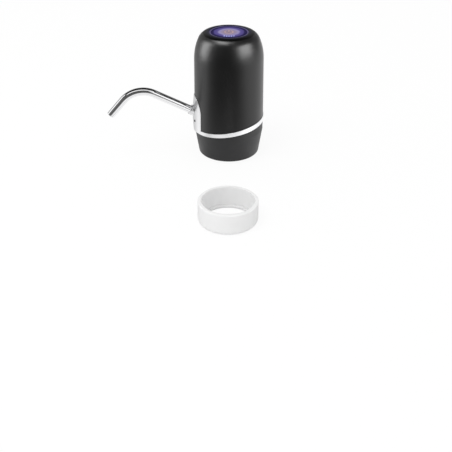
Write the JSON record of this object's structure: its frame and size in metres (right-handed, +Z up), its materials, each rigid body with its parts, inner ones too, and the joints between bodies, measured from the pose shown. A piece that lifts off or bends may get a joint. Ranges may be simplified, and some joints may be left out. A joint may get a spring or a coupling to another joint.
{
  "type": "electric water jug pump",
  "caption": "Rechargeable water jug pump: domed body with a neck socket, slanted trim band, bent swivelling spout, lit press button on top and a loose neck adapter ring.",
  "frame": {"origin": "centre of the neck socket's mouth, on the plane that the foot stands on", "axes": "+Z up along the neck axis, -X along the spout, -Y towards the loose adapter ring"},
  "size_m": [0.1649, 0.2117, 0.1313],
  "materials": {
    "base_grey": "fine satin moulding",
    "trim_silver": "bright plated plastic",
    "shell_black": "smooth satin gloss",
    "silicone": "matte",
    "white_fitting": "moulded",
    "hose": "clear milky silicone",
    "chassis_grey": "moulded",
    "screw_steel": "plain",
    "pump_blue": "moulded",
    "shaft_steel": "ground",
    "black_rubber": "matte",
    "can_steel": "zinc plated",
    "black_moulding": "moulded",
    "magnet": "sintered",
    "bronze": "sintered",
    "cell_wrap": "shrink film over a metal can",
    "spout_chrome": "polished",
    "board_green": "solder mask",
    "socket_metal": "folded sheet",
    "indicator_dark": "smoked lens",
    "led": "encapsulated",
    "light_ring": "lit diffuser",
    "spring_steel": "drawn wire",
    "red_lead": "insulated wire",
    "black_lead": "insulated wire",
    "button_face": "printed lit disc",
    "armature": "wound copper on a core",
    "gear_plastic": "moulded",
    "ring_white": "moulded"
  },
  "bodies": {
    "housing": {"base": "base_grey", "trim_band": "trim_silver", "upper_shell": "shell_black", "neck_gasket": "silicone", "inlet_fitting": "white_fitting", "link_hose": "hose", "chassis": "chassis_grey", "chassis_screws": "screw_steel", "pump_cover": "pump_blue", "pump_body": "pump_blue", "pump_screws": "screw_steel", "idler_pin": "shaft_steel", "shaft_seal": "black_rubber", "motor_can": "can_steel", "motor_end_bell": "black_moulding", "motor_magnets": "magnet", "motor_bushes": "bronze", "battery": "cell_wrap", "delivery_hose": "hose", "spout_socket": "black_moulding", "spout_seals": "black_rubber", "spout_ferrule": "spout_chrome", "charge_board": "board_green", "charge_socket": "socket_metal", "charge_indicator": "indicator_dark", "control_board": "board_green", "board_screws": "screw_steel", "button_switch": "black_moulding", "ring_leds": "led", "light_ring": "light_ring", "button_spring": "spring_steel", "motor_leads": "red_lead", "battery_leads": "black_lead", "charge_leads": "red_lead"},
    "button": {"button_cap": "button_face", "switch_plunger": "black_moulding"},
    "spout": {"spout_tube": "spout_chrome"},
    "rotor": {"motor_shaft": "shaft_steel", "armature": "armature", "drive_gear": "gear_plastic"},
    "idler": {"driven_gear": "gear_plastic"},
    "loose_ring": {"adapter_ring": "ring_white"}
  },
  "joints": [
    {"name": "button_press", "type": "slide", "parent": "housing", "child": "button", "axis": [0, 0, -1], "range_m": [0, 0.0008], "stiffness_N_per_m": 1000, "springref_m": -0.001, "deforming": ["button_spring"]},
    {"name": "spout_swivel", "type": "hinge", "parent": "housing", "child": "spout", "pos_m": [-0.0366, 0, 0.0476], "axis": [-0.8796, 0, 0.4756], "continuous": true},
    {"name": "motor_spin", "type": "hinge", "parent": "housing", "child": "rotor", "pos_m": [-0.004, -0.00605, 0.09], "axis": [0, 0, 1], "continuous": true},
    {"name": "idler_spin", "type": "hinge", "parent": "housing", "child": "idler", "pos_m": [-0.004, 0.00605, 0.069], "axis": [0, 0, 1], "continuous": true},
    {"name": "ring_lift", "type": "slide", "parent": "housing", "child": "loose_ring", "axis": [0, 0, 1], "range_m": [0, 0.06]}
  ],
  "couplings": [
    {"joint": "idler_spin", "follows": "motor_spin", "ratio": -1}
  ]
}
